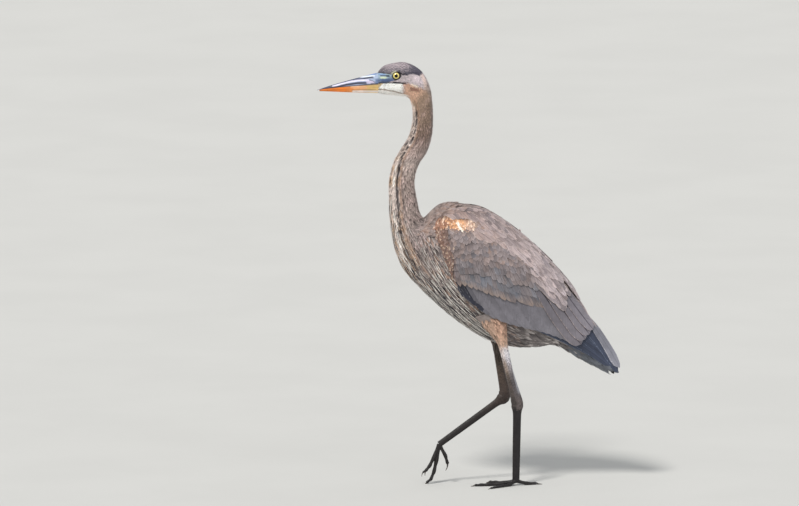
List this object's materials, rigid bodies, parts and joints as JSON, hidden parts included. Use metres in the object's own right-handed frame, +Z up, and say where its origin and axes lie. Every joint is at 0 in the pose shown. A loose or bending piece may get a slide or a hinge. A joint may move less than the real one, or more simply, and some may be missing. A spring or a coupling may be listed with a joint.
{
  "type": "great blue heron",
  "caption": "Life-size young great blue heron standing in mid-stride, neck raised, one foot flat and the other touching the floor with its toe tip.",
  "frame": {"origin": "on the floor under the middle of the bird's box", "axes": "+Z up, the bird faces -X, its left side is -Y"},
  "size_m": [0.688, 0.1698, 0.964],
  "materials": {
    "head_feathers": "dark slate crown, pale cheek and white malar, soft feathers",
    "neck_feathers": "grey-brown feathers, pale throat line with dark dashes",
    "body_feathers": "streaked grey-brown breast and belly, lavender-grey back",
    "wing_feathers": "slate-grey coverts with brown tips, dark slate primaries",
    "tail_feathers": "slate-grey feathers",
    "thigh_feathers": "buff-rufous feathers",
    "bill_upper_horn": "blue-grey horn, satin",
    "bill_lower_horn": "orange-yellow horn, satin",
    "eye": "pale yellow iris, black pupil, glossy",
    "leg_skin": "blackish scaled skin",
    "claw_horn": "black horn, satin"
  },
  "bodies": {
    "root": {"head": "head_feathers", "neck_upper": "neck_feathers", "neck_middle": "neck_feathers", "neck_lower": "neck_feathers", "trunk": "body_feathers", "tail": "tail_feathers", "bill_upper": "bill_upper_horn", "bill_lower": "bill_lower_horn", "eye_left": "eye", "wing_left": "wing_feathers", "thigh_left": "thigh_feathers", "shank_left": "leg_skin", "tarsus_left": "leg_skin", "foot_left": "leg_skin", "claw_left_1": "claw_horn", "claw_left_2": "claw_horn", "claw_left_3": "claw_horn", "claw_left_4": "claw_horn", "eye_right": "eye", "wing_right": "wing_feathers", "thigh_right": "thigh_feathers", "shank_right": "leg_skin", "tarsus_right": "leg_skin", "foot_right": "leg_skin", "claw_right_1": "claw_horn", "claw_right_2": "claw_horn", "claw_right_3": "claw_horn", "claw_right_4": "claw_horn"}
  },
  "joints": []
}
